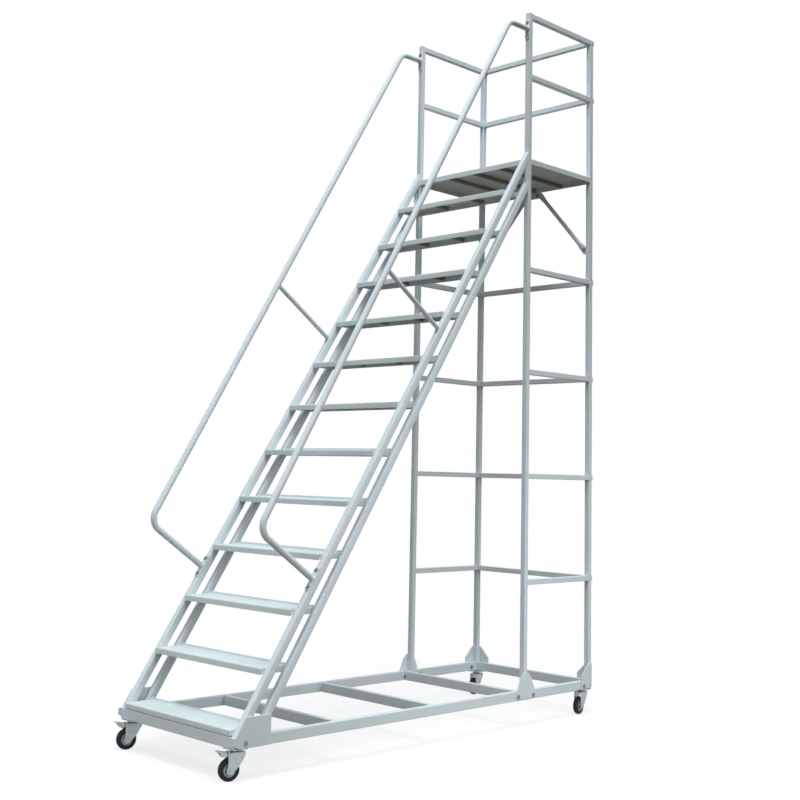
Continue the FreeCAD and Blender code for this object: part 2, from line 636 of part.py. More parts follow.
doc.recompute()
bad = []
for obj in doc.Objects:
    if "Invalid" in obj.State or "Error" in obj.State:
        bad.append(obj.Name)
for obj in parts:
    if obj.Shape.isNull() or not obj.Shape.isValid():
        bad.append(obj.Label)
if bad:
    raise RuntimeError("not built: " + ", ".join(bad))
for obj in parts:
    obj.Shape.exportStep(f"parts/{obj.Label}.step")
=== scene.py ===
import json
import math

import bmesh
import bpy
from mathutils import Matrix, Vector


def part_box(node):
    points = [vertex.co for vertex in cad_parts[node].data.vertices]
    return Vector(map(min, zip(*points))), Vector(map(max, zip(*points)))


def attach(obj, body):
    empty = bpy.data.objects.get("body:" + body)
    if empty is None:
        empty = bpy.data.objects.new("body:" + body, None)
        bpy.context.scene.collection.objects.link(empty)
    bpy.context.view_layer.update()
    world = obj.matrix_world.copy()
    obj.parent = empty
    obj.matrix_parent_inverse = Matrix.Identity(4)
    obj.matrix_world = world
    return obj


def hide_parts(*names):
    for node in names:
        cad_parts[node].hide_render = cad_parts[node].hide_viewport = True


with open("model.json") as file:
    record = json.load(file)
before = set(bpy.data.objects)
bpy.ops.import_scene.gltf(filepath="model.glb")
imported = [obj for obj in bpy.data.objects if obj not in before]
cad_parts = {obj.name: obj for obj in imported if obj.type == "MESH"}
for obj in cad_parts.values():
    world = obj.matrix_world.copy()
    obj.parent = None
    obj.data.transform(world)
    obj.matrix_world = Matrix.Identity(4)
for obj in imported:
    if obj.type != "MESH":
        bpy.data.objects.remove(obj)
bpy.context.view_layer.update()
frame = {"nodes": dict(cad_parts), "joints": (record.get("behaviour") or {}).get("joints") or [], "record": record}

# Shared sizes of the part, in metres
NODES = frame["nodes"]
JOINTS = {j["name"]: j for j in frame["joints"]}
SLOT_OF = {s["node"]: s["material_slot"] for s in frame["record"]["subparts"]}
SIDES = (("right", -1), ("left", 1))
LOW = {n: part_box(n)[0] for n in NODES}
HIGH = {n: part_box(n)[1] for n in NODES}
TUBE = 0.030
PLATE = 0.005
SHEET = 0.003
HALF_W = HIGH["base_side_rail_left"].y
INNER = HALF_W - TUBE
NOSE_X = LOW["treads"].x
POST_X = LOW["front_post_left"].x
TOWER_BACK = HIGH["base_rear_rail"].x
BASE_LOW = LOW["base_front_rail"].z
BASE_TOP = HIGH["base_front_rail"].z
DECK_Z = HIGH["platform_deck"].z
RAIL_TOP = HIGH["guard_rails_left"].z
TREADS = 12
RISE = 0.250
GOING = 0.168
TREAD_LOW = 0.222
TREAD_DEEP = 0.152
TREAD_FOLD = 0.029
UPSTAND = 0.013
CHORD_FRONT = 0.024
CHORD_GAP = 0.109
CHORD_DEEP = 0.039
LEAN = math.atan2(RISE, GOING)
CHORD_LEVEL = CHORD_DEEP / math.sin(LEAN)
SOURCE_WELD = 0.00002
TURN_SIDEWAYS = Matrix.Rotation(math.pi / 2, 4, "X")
UP_STAIR = Vector((math.cos(LEAN), 0, math.sin(LEAN)))
OFF_STAIR = Vector((-math.sin(LEAN), 0, math.cos(LEAN)))


def chord_point(back, y):
    """A point on the stringer's front face, a level distance behind the lowest tread edge."""
    return Vector((NOSE_X + back, y, TREAD_LOW + (back - CHORD_FRONT) * math.tan(LEAN)))


# Materials
def node_tree(name):
    """A new material with its node tree, its shader and a coordinate node."""
    mat = bpy.data.materials.new(name)
    mat.use_nodes = True
    tree = mat.node_tree
    shader = tree.nodes["Principled BSDF"]
    coord = tree.nodes.new("ShaderNodeTexCoord")
    return mat, tree, shader, coord


def noise(tree, coord, scale, detail=3.0, rough=0.5):
    """A noise texture over the object's own coordinates."""
    tex = tree.nodes.new("ShaderNodeTexNoise")
    tex.inputs["Scale"].default_value = scale
    tex.inputs["Detail"].default_value = detail
    tex.inputs["Roughness"].default_value = rough
    tree.links.new(coord.outputs["Object"], tex.inputs["Vector"])
    return tex


def ramp(tree, source, stops):
    """A colour ramp fed by a texture's factor."""
    node = tree.nodes.new("ShaderNodeValToRGB")
    for element, (place, colour) in zip(node.color_ramp.elements, stops):
        element.position = place
        element.color = (*colour, 1)
    tree.links.new(source, node.inputs["Fac"])
    return node


def spread(tree, source, low, high):
    """Maps a factor onto a range of values."""
    node = tree.nodes.new("ShaderNodeMapRange")
    node.inputs["From Min"].default_value = 0.3
    node.inputs["From Max"].default_value = 0.7
    node.inputs["To Min"].default_value = low
    node.inputs["To Max"].default_value = high
    tree.links.new(source, node.inputs["Value"])
    return node


def bump(tree, shader, source, strength, distance):
    """A bump from one height source."""
    node = tree.nodes.new("ShaderNodeBump")
    node.inputs["Strength"].default_value = strength
    node.inputs["Distance"].default_value = distance
    tree.links.new(source, node.inputs["Height"])
    tree.links.new(node.outputs["Normal"], shader.inputs["Normal"])


def add(tree, first, second):
    """Sum of two heights."""
    node = tree.nodes.new("ShaderNodeMath")
    node.operation = "ADD"
    tree.links.new(first, node.inputs[0])
    tree.links.new(second, node.inputs[1])
    return node.outputs[0]


def powder_coat(name, pale, dull, rough):
    """Pale powder coat with faint clouding and an orange peel surface."""
    mat, tree, shader, coord = node_tree(name)
    cloud = noise(tree, coord, 5.0, 4.0, 0.6)
    fine = noise(tree, coord, 260.0, 2.0)
    peel = noise(tree, coord, 900.0, 1.0)
    colour = ramp(tree, cloud.outputs["Fac"], ((0.32, dull), (0.68, pale)))
    tree.links.new(colour.outputs["Color"], shader.inputs["Base Color"])
    tree.links.new(spread(tree, fine.outputs["Fac"], rough - 0.05, rough + 0.07).outputs["Result"],
                   shader.inputs["Roughness"])
    bump(tree, shader, add(tree, fine.outputs["Fac"], peel.outputs["Fac"]), 0.02, 0.0004)
    shader.inputs["Specular IOR Level"].default_value = 0.06
    return mat


def zinc(name, pale, dull, rough):
    """Zinc-plated sheet steel with a cloudy spangle and faint drawing lines."""
    mat, tree, shader, coord = node_tree(name)
    cloud = noise(tree, coord, 60.0, 4.0, 0.6)
    grain = noise(tree, coord, 700.0, 2.0)
    colour = ramp(tree, cloud.outputs["Fac"], ((0.3, dull), (0.7, pale)))
    tree.links.new(colour.outputs["Color"], shader.inputs["Base Color"])
    shader.inputs["Metallic"].default_value = 0.75
    tree.links.new(spread(tree, cloud.outputs["Fac"], rough - 0.08, rough + 0.1).outputs["Result"],
                   shader.inputs["Roughness"])
    bump(tree, shader, grain.outputs["Fac"], 0.1, 0.0003)
    return mat


def moulded(name, pale, dull, rough, grain_scale, strength):
    """Rubber or plastic with a fine mould grain and slight scuffing."""
    mat, tree, shader, coord = node_tree(name)
    scuff = noise(tree, coord, 35.0, 5.0, 0.65)
    grain = noise(tree, coord, grain_scale, 2.0)
    colour = ramp(tree, scuff.outputs["Fac"], ((0.35, dull), (0.75, pale)))
    tree.links.new(colour.outputs["Color"], shader.inputs["Base Color"])
    tree.links.new(spread(tree, scuff.outputs["Fac"], rough - 0.08, rough + 0.08).outputs["Result"],
                   shader.inputs["Roughness"])
    bump(tree, shader, grain.outputs["Fac"], strength, 0.0004)
    shader.inputs["Specular IOR Level"].default_value = 0.25
    return mat


COAT = powder_coat("powder_coat", (0.665, 0.735, 0.765), (0.62, 0.695, 0.725), 0.46)
TREAD_COAT = powder_coat("powder_coat_tread", (0.655, 0.735, 0.75), (0.585, 0.66, 0.67), 0.5)
# Dark brownish coat for the ribs under the treads and the platform: painted shade for the shade beneath them, on
# ribs that carry the frame's pale paint
RIB_PAINTED_SHADE = powder_coat("powder_coat_painted_shade", (0.30, 0.29, 0.27), (0.24, 0.235, 0.22), 0.6)
ZINC = zinc("zinc_plate", (0.44, 0.50, 0.50), (0.33, 0.38, 0.38), 0.4)
# Zinc for bolts, caster races and fork crowns, darker than the plated sheet as painted shade: the dark stands for
# the shade on bolt heads, in holes and under the caster plates
SHADED_BOLT_ZINC = zinc("bolt_zinc_painted_shade", (0.26, 0.28, 0.29), (0.18, 0.20, 0.21), 0.36)
RUBBER = moulded("tyre_rubber", (0.010, 0.012, 0.024), (0.006, 0.007, 0.015), 0.55, 420.0, 0.15)
CORE = moulded("core_plastic", (0.50, 0.545, 0.57), (0.40, 0.44, 0.46), 0.45, 600.0, 0.1)
CAP = moulded("cap_plastic", (0.30, 0.33, 0.34), (0.22, 0.245, 0.255), 0.5, 500.0, 0.1)
PAINT_OF = {"frame_paint": COAT, "zinc_steel": ZINC, "wheel_core": CORE, "tyre": RUBBER}


# Mesh helpers
def finish(bm, name, mat, body, node_names=(), bevel=0.0, smooth=35.0):
    """Turns a bmesh into a piece that rides on a body and may stand for CAD nodes."""
    bmesh.ops.recalc_face_normals(bm, faces=bm.faces[:])
    mesh = bpy.data.meshes.new(name)
    bm.to_mesh(mesh)
    bm.free()
    obj = bpy.data.objects.new(name, mesh)
    bpy.context.scene.collection.objects.link(obj)
    mesh.materials.append(mat)
    for polygon in mesh.polygons:
        polygon.use_smooth = True
    mesh.set_sharp_from_angle(angle=math.radians(smooth))
    if bevel:
        soften(obj, bevel, 2)
    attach(obj, body)
    if node_names:
        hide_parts(*node_names)


def soften(obj, width, segments):
    """Rounds the edges of a piece."""
    mod = obj.modifiers.new("edge", "BEVEL")
    mod.width = width
    mod.segments = segments
    mod.limit_method = "ANGLE"
    mod.angle_limit = math.radians(32)
    mod.harden_normals = True


def loft(bm, rings, closed=True):
    """Skins a row of rings, with end faces if closed."""
    rows = [[bm.verts.new(p) for p in ring] for ring in rings]
    count = len(rows[0])
    for one, two in zip(rows, rows[1:]):
        for i in range(count):
            bm.faces.new((one[i], one[(i + 1) % count], two[(i + 1) % count], two[i]))
    if closed:
        bm.faces.new(rows[0][::-1])
        bm.faces.new(rows[-1])


def lathe(bm, profile, matrix, segments=32):
    """Turns a profile of radius and height about the local Z axis."""
    rings = []
    for radius, height in profile:
        rings.append([matrix @ Vector((radius * math.cos(2 * math.pi * i / segments),
                                       radius * math.sin(2 * math.pi * i / segments), height))
                      for i in range(segments)])
    loft(bm, rings)


def prism(bm, outline, low, high, matrix=Matrix.Identity(4)):
    """Extrudes a flat outline along the local Z axis."""
    loft(bm, [[matrix @ Vector((x, y, low)) for x, y in outline],
              [matrix @ Vector((x, y, high)) for x, y in outline]])


def rounded(corners, steps=6):
    """An outline whose corners are rounded by the third number of each."""
    out = []
    count = len(corners)
    for i, (x, y, radius) in enumerate(corners):
        if radius <= 0:
            out.append((x, y))
            continue
        here = Vector((x, y))
        back = Vector(corners[i - 1][:2]) - here
        on = Vector(corners[(i + 1) % count][:2]) - here
        half = back.angle(on) / 2
        reach = min(radius / math.tan(half), back.length * 0.49, on.length * 0.49)
        radius = reach * math.tan(half)
        centre = here + (back.normalized() + on.normalized()).normalized() * (radius / math.sin(half))
        start = here + back.normalized() * reach - centre
        end = here + on.normalized() * reach - centre
        turn = start.angle_signed(end)
        first = math.atan2(start.y, start.x)
        for k in range(steps + 1):
            angle = first - turn * k / steps
            out.append((centre.x + radius * math.cos(angle), centre.y + radius * math.sin(angle)))
    return out


def oblong(half_x, half_y, radius, steps=4):
    """A rectangle about the origin with round corners."""
    return rounded([(-half_x, -half_y, radius), (half_x, -half_y, radius), (half_x, half_y, radius),
                    (-half_x, half_y, radius)], steps)


def facing(origin, normal, up=(0, 0, 1)):
    """A frame at a point whose Z axis is the normal."""
    z = Vector(normal).normalized()
    x = Vector(up).cross(z)
    if x.length < 1e-4:
        x = Vector((1, 0, 0)).cross(z)
    x.normalize()
    y = z.cross(x)
    return Matrix.Translation(origin) @ Matrix((x, y, z)).transposed().to_4x4()


def hex_bolt(bm, origin, normal, across=0.013, tall=0.0055, turn=0.3):
    """A washer and a chamfered hexagon head."""
    matrix = facing(origin, normal) @ Matrix.Rotation(turn, 4, "Z")
    washer = across * 0.86
    lathe(bm, [(washer, 0), (washer, 0.0014), (washer - 0.0004, 0.0017)], matrix, 20)
    radius = across / math.sqrt(3)
    rings = []
    for share, height in ((1, 0.0015), (1, tall * 0.8), (0.9, tall)):
        rings.append([matrix @ Vector((radius * share * math.cos(math.pi * k / 3),
                                       radius * share * math.sin(math.pi * k / 3), height))
                      for k in range(6)])
    loft(bm, rings)


def stud_nut(bm, origin, normal, across=0.013, tall=0.0065, stud=0.004):
    """A washer, a nut and the end of the bolt that shows beyond it."""
    hex_bolt(bm, origin, normal, across, tall, 0.8)
    matrix = facing(origin, normal)
    lathe(bm, [(stud, tall - 0.001), (stud, tall + 0.004), (stud - 0.0008, tall + 0.0048)], matrix, 16)


def bead(bm, start, end, radius=0.0028):
    """A weld bead with the ripple of its passes."""
    start, end = Vector(start), Vector(end)
    length = (end - start).length
    steps = max(4, int(length / 0.0035))
    matrix = facing(start, end - start)
    rings = []
    for k in range(steps + 1):
        swell = radius * (0.82 + 0.18 * math.cos(math.pi * k))
        if k in (0, steps):
            swell *= 0.45
        rings.append([matrix @ Vector((swell * math.cos(math.pi * i / 4), swell * math.sin(math.pi * i / 4),
                                       length * k / steps)) for i in range(8)])
    loft(bm, rings)


def swept(bm, path, shape, segments=24):
    """A tube along a path; shape gives a side direction and the half sizes off it and along it."""
    rings = []
    for k, point in enumerate(path):
        back = path[max(k - 1, 0)]
        on = path[min(k + 1, len(path) - 1)]
        along = (Vector(on) - Vector(back)).normalized()
        side, first, second = shape(k)
        across = along.cross(side).normalized()
        rings.append([Vector(point) + across * (first * math.cos(2 * math.pi * i / segments))
                      + side * (second * math.sin(2 * math.pi * i / segments)) for i in range(segments)])
    loft(bm, rings)


# The CAD nodes that show keep their shape and get rounded edges and paint
SHEETS = ("stair_foot_plates", "front_post_plates", "rear_post_plates", "platform_deck", "platform_ribs")
for node_name, obj in NODES.items():
    obj.data.materials.clear()
    obj.data.materials.append(PAINT_OF[SLOT_OF[node_name]])
    weld = obj.modifiers.new("weld", "WELD")
    weld.merge_threshold = SOURCE_WELD
    if node_name in SHEETS:
        soften(obj, 0.0011, 2)
    elif not node_name.startswith(("handrail", "knee", "caster", "brake", "treads")):
        soften(obj, 0.0026, 3)
NODES["platform_deck"].data.materials[0] = TREAD_COAT
# The platform ribs take the dark coat of painted shade
NODES["platform_ribs"].data.materials[0] = RIB_PAINTED_SHADE

# Stringers, two deep tubes a side, cut level on the base and upright against the post
CHORD_SECTION = oblong(TUBE / 2, CHORD_DEEP / 2, 0.004, 3)
for name, side in SIDES:
    for part, back in (("front", CHORD_FRONT), ("rear", CHORD_FRONT + CHORD_GAP)):
        chord = bmesh.new()
        low = []
        high = []
        for across, deep in CHORD_SECTION:
            line = chord_point(CHORD_FRONT, side * (HALF_W - TUBE / 2) + across)
            line += Vector((back - CHORD_FRONT, 0, 0)) - OFF_STAIR * (CHORD_DEEP / 2 + deep)
            low.append(line + UP_STAIR * ((BASE_TOP - line.z) / UP_STAIR.z))
            high.append(line + UP_STAIR * ((POST_X - line.x) / UP_STAIR.x))
        loft(chord, [low, high])
        finish(chord, f"stringer_tube_{part}_{name}", COAT, "ladder",
               [f"stringer_{part}_{name}"], smooth=60)

# Treads, each one sheet: rolled front edge and fold, ends folded down, rear edge up and down, two hat ribs
NOTCH = 0.0012
FIRST_FOLD = 0.0255
ROLL = 0.005
RIB_HALF = 0.011
RIB_DEEP = 0.020
RIB_Y = INNER / 3
END_FOLD = rounded([(0.007, -FIRST_FOLD, 0.004), (TREAD_DEEP - 0.006, -FIRST_FOLD, 0.004),
                    (TREAD_DEEP - 0.006, 0, 0), (0.007, 0, 0)], 4)
RIB = [(-RIB_HALF - 0.008, -SHEET - 0.002), (-RIB_HALF, -SHEET - 0.002), (-RIB_HALF + 0.003, -RIB_DEEP),
       (RIB_HALF - 0.003, -RIB_DEEP), (RIB_HALF, -SHEET - 0.002), (RIB_HALF + 0.008, -SHEET - 0.002),
       (RIB_HALF + 0.008, -SHEET), (-RIB_HALF - 0.008, -SHEET)]


def tread_section(fold):
    """A tread seen from its end, with a front fold of a given depth."""
    return rounded([(0, -fold, 0), (0, 0, ROLL), (TREAD_DEEP - SHEET, 0, 0.004),
                    (TREAD_DEEP - SHEET, UPSTAND, 0.0012), (TREAD_DEEP, UPSTAND, 0.0012),
                    (TREAD_DEEP, -TREAD_FOLD, 0.0012), (TREAD_DEEP - SHEET, -TREAD_FOLD, 0.0012),
                    (TREAD_DEEP - SHEET, -SHEET, 0), (SHEET, -SHEET, ROLL - SHEET), (SHEET, -fold, 0)], 5)


steps = bmesh.new()
ribs = bmesh.new()
for step in range(TREADS):
    place = Matrix.Translation((NOSE_X + step * GOING, 0, TREAD_LOW + step * RISE)) @ TURN_SIDEWAYS
    fold = TREAD_FOLD if step else FIRST_FOLD
    prism(steps, tread_section(fold), -INNER + NOTCH, INNER - NOTCH, place)
    for _, side in SIDES:
        low, high = sorted((side * (INNER - SHEET), side * INNER))
        prism(steps, END_FOLD, low, high, place)
        across = place @ Matrix.Translation((0, 0, -side * RIB_Y)) @ Matrix.Rotation(math.pi / 2, 4, "Y")
        prism(ribs, RIB, SHEET, TREAD_DEEP - SHEET, across)
finish(steps, "treads_pressed", TREAD_COAT, "ladder", ["treads"], smooth=30)
# The hat ribs under the treads take the dark coat of painted shade
finish(ribs, "tread_ribs", RIB_PAINTED_SHADE, "ladder", smooth=30)

# Raised lens pattern pressed into the tops of the treads and the platform
LENS = 0.018
PITCH = 0.0245


def lens(bm, x, y, z, turn):
    """One low raised lens."""
    base = []
    top = []
    for i in range(8):
        angle = 2 * math.pi * i / 8
        across = Vector((LENS / 2 * math.cos(angle), 0.0034 * math.sin(angle)))
        across.rotate(Matrix.Rotation(turn, 2))
        base.append(bm.verts.new((x + across.x, y + across.y, z - 0.0002)))
        top.append(bm.verts.new((x + across.x * 0.62, y + across.y * 0.5, z + 0.0009)))
    for i in range(8):
        bm.faces.new((base[i], base[(i + 1) % 8], top[(i + 1) % 8], top[i]))
    bm.faces.new(top)
    bm.faces.new(base[::-1])


def pattern(bm, x_low, x_high, y_low, y_high, z):
    """Rows of lenses at alternate angles."""
    rows = int((x_high - x_low) / PITCH)
    columns = int((y_high - y_low) / PITCH)
    for i in range(rows):
        for j in range(columns):
            x = (x_low + x_high) / 2 + (i - (rows - 1) / 2) * PITCH
            y = (y_low + y_high) / 2 + (j - (columns - 1) / 2) * PITCH
            lens(bm, x, y, z, math.radians(45 if (i + j) % 2 else -45))


grip = bmesh.new()
for step in range(TREADS):
    lip = NOSE_X + step * GOING
    pattern(grip, lip + 0.008, lip + TREAD_DEEP - 0.010, -INNER + 0.012, INNER - 0.012,
            TREAD_LOW + step * RISE)
finish(grip, "tread_grip", TREAD_COAT, "ladder")
grip = bmesh.new()
pattern(grip, POST_X + TUBE + 0.006, TOWER_BACK - TUBE - 0.006, -HALF_W + 0.008, HALF_W - 0.008,
        DECK_Z)
finish(grip, "platform_grip", TREAD_COAT, "ladder")

# Handrails, one bent tube a side with a bolted flange at each end
HAND_R = 0.016
HAND_Z = RAIL_TOP - 0.094
HAND_BACK = 0.452
HAND_OFF = 0.410
HAND_BEND = 0.070
HAND_TOP_LONG = 0.168
FLANGE_HALF = 0.062
TOP_BOLT = 0.036
FOOT_BOLT = 0.045
LENGTH_OF_STAY = 0.462
BEND_STEPS = 12


def even(points, gap):
    """The same line with points no further apart than a gap."""
    out = [points[0]]
    for one, two in zip(points, points[1:]):
        count = max(1, math.ceil((two - one).length / gap))
        out += [one.lerp(two, (k + 1) / count) for k in range(count)]
    return out


def rail_path(y):
    """Points along a handrail, with its two bends as arcs."""
    foot = chord_point(HAND_BACK, y)
    corners = [Vector((POST_X, y, HAND_Z)), Vector((POST_X - HAND_TOP_LONG, y, HAND_Z)),
               foot + OFF_STAIR * HAND_OFF, foot]
    outline = rounded([(corners[0].x, corners[0].z, 0), (corners[1].x, corners[1].z, HAND_BEND),
                       (corners[2].x, corners[2].z, HAND_BEND), (corners[3].x, corners[3].z, 0)], BEND_STEPS)
    return even([Vector((x, y, z)) for x, z in outline], 0.05)


bolts = bmesh.new()
for name, side in SIDES:
    middle = side * (HALF_W - TUBE / 2)
    rail = bmesh.new()
    swept(rail, rail_path(middle), lambda k: (Vector((0, 1, 0)), HAND_R, HAND_R), 32)
    top = facing((POST_X, middle, HAND_Z - 0.007), (-1, 0, 0))
    prism(rail, oblong(TUBE / 2 - 0.0005, FLANGE_HALF - 0.007, 0.006), 0, PLATE, top)
    foot = chord_point(HAND_BACK, middle)
    prism(rail, oblong(TUBE / 2 - 0.0005, FLANGE_HALF, 0.006), 0, PLATE, facing(foot, OFF_STAIR, UP_STAIR))
    for spot, line in (((POST_X - PLATE, middle, HAND_Z), Vector((-1, 0, 0))),
                       (foot + OFF_STAIR * PLATE, OFF_STAIR)):
        lathe(rail, [(HAND_R + 0.0035, 0), (HAND_R + 0.0022, 0.0022), (HAND_R, 0.0042)],
              facing(spot, line), 32)
    finish(rail, f"handrail_tube_{name}", COAT, "ladder", [f"handrail_{name}"], smooth=40)
    for z in (HAND_Z + TOP_BOLT, HAND_Z - TOP_BOLT):
        hex_bolt(bolts, (POST_X - PLATE, middle, z), (-1, 0, 0))
        stud_nut(bolts, (POST_X + TUBE, middle, z), (1, 0, 0))
    for reach in (FOOT_BOLT, -FOOT_BOLT):
        hex_bolt(bolts, foot + UP_STAIR * reach + OFF_STAIR * PLATE, OFF_STAIR)
        stud_nut(bolts, foot + UP_STAIR * reach - OFF_STAIR * TUBE, -OFF_STAIR)

# Handrail stays, each with a flattened, bolted foot
STAY_R = 0.012
STAY_BACK = 1.302
TAB_LONG = 0.036
TAB_THICK = 0.0035
for name, side in SIDES:
    middle = side * (HALF_W - TUBE / 2)
    foot = chord_point(STAY_BACK, middle)
    stay = bmesh.new()
    path = even([foot + OFF_STAIR * 0.002, foot + OFF_STAIR * (LENGTH_OF_STAY - 0.0005)], 0.02)
    swept(stay, path, lambda k: (Vector((0, 1, 0)), STAY_R, STAY_R), 24)
    tab = facing(foot - UP_STAIR * (TAB_LONG / 2 - 0.006), OFF_STAIR, UP_STAIR)
    prism(stay, oblong(0.0115, TAB_LONG / 2, 0.007), 0.0002, TAB_THICK, tab)
    finish(stay, f"stay_tube_{name}", COAT, "ladder", [f"handrail_stay_{name}"], smooth=50)
    hex_bolt(bolts, foot - UP_STAIR * 0.019 + OFF_STAIR * TAB_THICK, OFF_STAIR, 0.010, 0.0045)

# Bolts through the gussets
GUSSET_BOLTS = (0.061, 1.9925, 2.1245, 2.6075)
BOLT_Z = BASE_LOW + 0.021
GUSSET_BOLT = 0.014
for _, side in SIDES:
    face = side * (HALF_W + PLATE)
    for back in GUSSET_BOLTS:
        hex_bolt(bolts, (NOSE_X + back, face, BOLT_Z), (0, side, 0), GUSSET_BOLT, 0.005)
        stud_nut(bolts, (NOSE_X + back, side * INNER, BOLT_Z), (0, -side, 0), GUSSET_BOLT)
    hex_bolt(bolts, (TOWER_BACK + PLATE, side * (HALF_W - 0.062), BOLT_Z), (1, 0, 0), GUSSET_BOLT, 0.005)
# The frame bolts take the zinc darkened as painted shade
finish(bolts, "frame_bolts", SHADED_BOLT_ZINC, "ladder")

# Weld beads where tubes meet
welds = bmesh.new()


def heights(node):
    """Levels of a node's faces, lowest first."""
    return sorted({round(v.co.z, 4) for v in NODES[node].data.vertices})


for name, side in SIDES:
    outer = side * (HALF_W - 0.003)
    inner = side * INNER
    for node in (f"tower_rungs_{name}", f"guard_rails_{name}"):
        for z in heights(node):
            if z < RAIL_TOP - 0.001:
                bead(welds, (POST_X + TUBE, outer, z), (POST_X + TUBE, inner + side * 0.003, z))
                bead(welds, (TOWER_BACK - TUBE, inner, z), (TOWER_BACK - 0.003, inner, z), 0.0022)
    for x in (POST_X, POST_X + TUBE):
        bead(welds, (x, outer, BASE_TOP), (x, inner + side * 0.003, BASE_TOP))
    for back in (CHORD_FRONT, CHORD_FRONT + CHORD_GAP):
        x = NOSE_X + back + (BASE_TOP - TREAD_LOW) / math.tan(LEAN)
        for edge in (x, x + CHORD_LEVEL):
            bead(welds, (edge, outer, BASE_TOP), (edge, inner + side * 0.003, BASE_TOP))
        z = TREAD_LOW + (POST_X - NOSE_X - back) * math.tan(LEAN)
        for top in (z, z - CHORD_LEVEL * math.tan(LEAN)):
            bead(welds, (POST_X, outer, top), (POST_X, inner + side * 0.003, top))
    for step in range(TREADS):
        lip = NOSE_X + step * GOING
        top = TREAD_LOW + step * RISE
        bead(welds, (lip + 0.030, inner, top), (lip + 0.058, inner, top), 0.002)
        bead(welds, (lip + 0.126, inner, top), (lip + 0.146, inner, top), 0.002)
finish(welds, "weld_beads", COAT, "ladder")

# Plugs in the open tube ends and domed caps on the front posts
plugs = bmesh.new()
caps = bmesh.new()
CAP_RINGS = ((0.0, 0.0), (0.0, 0.0012), (0.0018, 0.0030), (0.005, 0.0040), (0.010, 0.0044))
for name, side in SIDES:
    centre = side * (HALF_W - TUBE / 2)
    for node in (f"tower_rungs_{name}", f"guard_rails_{name}"):
        end = HIGH[node].x
        for top in heights(node)[1::2]:
            prism(plugs, oblong(0.0115, 0.0115, 0.003, 3), -0.004, 0.0006,
                  facing((end, centre, top - TUBE / 2), (1, 0, 0)))
    post = Matrix.Translation((POST_X + TUBE / 2, centre, RAIL_TOP))
    loft(caps, [[post @ Vector((x, y, tall)) for x, y in oblong(TUBE / 2 - inset, TUBE / 2 - inset, 0.0032)]
                for inset, tall in CAP_RINGS])
finish(plugs, "tube_plugs", CAP, "ladder", bevel=0.0004)
finish(caps, "post_caps", COAT, "ladder", smooth=60)

# Knee brace, one tube pressed flat at its middle and at both feet
brace_low, brace_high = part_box("knee_brace")
BRACE_X = (brace_low.x + brace_high.x) / 2
BRACE_R = 0.0125
MIDDLE_Z = brace_high.z - 0.021
FOOT_Y = INNER - 0.006
FOOT_Z = brace_low.z + 0.022
KNEE_Y = 0.052
KNEE_SHARE = 0.16
BRACE_STEPS = 60
path = []
sizes = []
for k in range(BRACE_STEPS + 1):
    share = 2 * k / BRACE_STEPS - 1
    along = abs(share)
    side = math.copysign(1, share)
    if along < KNEE_SHARE:
        point = (BRACE_X, side * along / KNEE_SHARE * KNEE_Y, MIDDLE_Z)
    else:
        reach = (along - KNEE_SHARE) / (1 - KNEE_SHARE)
        y = side * (KNEE_Y + (FOOT_Y - KNEE_Y) * reach)
        point = (BRACE_X, y, MIDDLE_Z + (FOOT_Z - MIDDLE_Z) * reach)
    path.append(point)
    flat = min(1.0, max(0.0, 1 - max(0.0, along - KNEE_SHARE) / 0.11, (along - 0.86) / 0.08))
    flat = flat * flat * (3 - 2 * flat)
    sizes.append((BRACE_R + 0.0072 * flat, BRACE_R - 0.0085 * flat))
brace = bmesh.new()
swept(brace, path, lambda k: (Vector((1, 0, 0)), sizes[k][0], sizes[k][1]))
finish(brace, "knee_brace_tube", COAT, "ladder", ["knee_brace"], smooth=50)
brace_bolts = bmesh.new()
for side in (-1, 1):
    for y, z in ((INNER - 0.020, FOOT_Z + 0.018), (0.030, MIDDLE_Z)):
        hex_bolt(brace_bolts, (BRACE_X - 0.004, side * y, z), (-1, 0, 0))
# The brace bolts take the zinc darkened as painted shade
finish(brace_bolts, "knee_brace_bolts", SHADED_BOLT_ZINC, "ladder")

# Casters, drawn in the fork's own frame: X towards the wheel, Y across it, Z up from the floor
TRAIL = 0.030
WHEEL_R = 0.050
WHEEL_HALF = 0.014
WHEEL_SEGMENTS = 72
CORE_R = 0.0305
FORK_HALF = 0.0225
FORK_TOP = 0.127
CROWN = 0.130
RACE_LOW = 0.135
MOUNT_HALF = 0.042
MOUNT_BOLT = 0.031
PEDAL_RISE = math.radians(10)
CHEEK = rounded([(-0.041, FORK_TOP, 0.003), (-0.041, 0.113, 0.004), (-0.012, 0.066, 0.03),
                 (0.012, 0.044, 0.012), (0.017, 0.032, 0.010), (0.030, 0.0315, 0.012),
                 (0.043, 0.032, 0.010), (0.048, 0.046, 0.012), (0.042, 0.074, 0.02),
                 (0.042, FORK_TOP, 0.003)], 5)
TYRE_SHOULDER = [(CORE_R, 0.0015), (CORE_R + 0.001, 0.0004), (WHEEL_R - 0.011, 0),
                 (WHEEL_R - 0.0065, 0.0007), (WHEEL_R - 0.0028, 0.0028), (WHEEL_R - 0.0007, 0.0062),
                 (WHEEL_R, 0.0096)]
DISH = WHEEL_HALF - 0.0035
HUB_FACE = [(0.0052, WHEEL_HALF - 0.0008), (0.011, WHEEL_HALF - 0.0008), (0.0122, WHEEL_HALF - 0.002),
            (0.0122, DISH - 0.003), (0.0235, DISH - 0.003), (0.025, DISH + 0.001),
            (CORE_R - 0.001, DISH + 0.0016), (CORE_R + 0.0002, DISH)]
mounts = bmesh.new()
mount_bolts = bmesh.new()


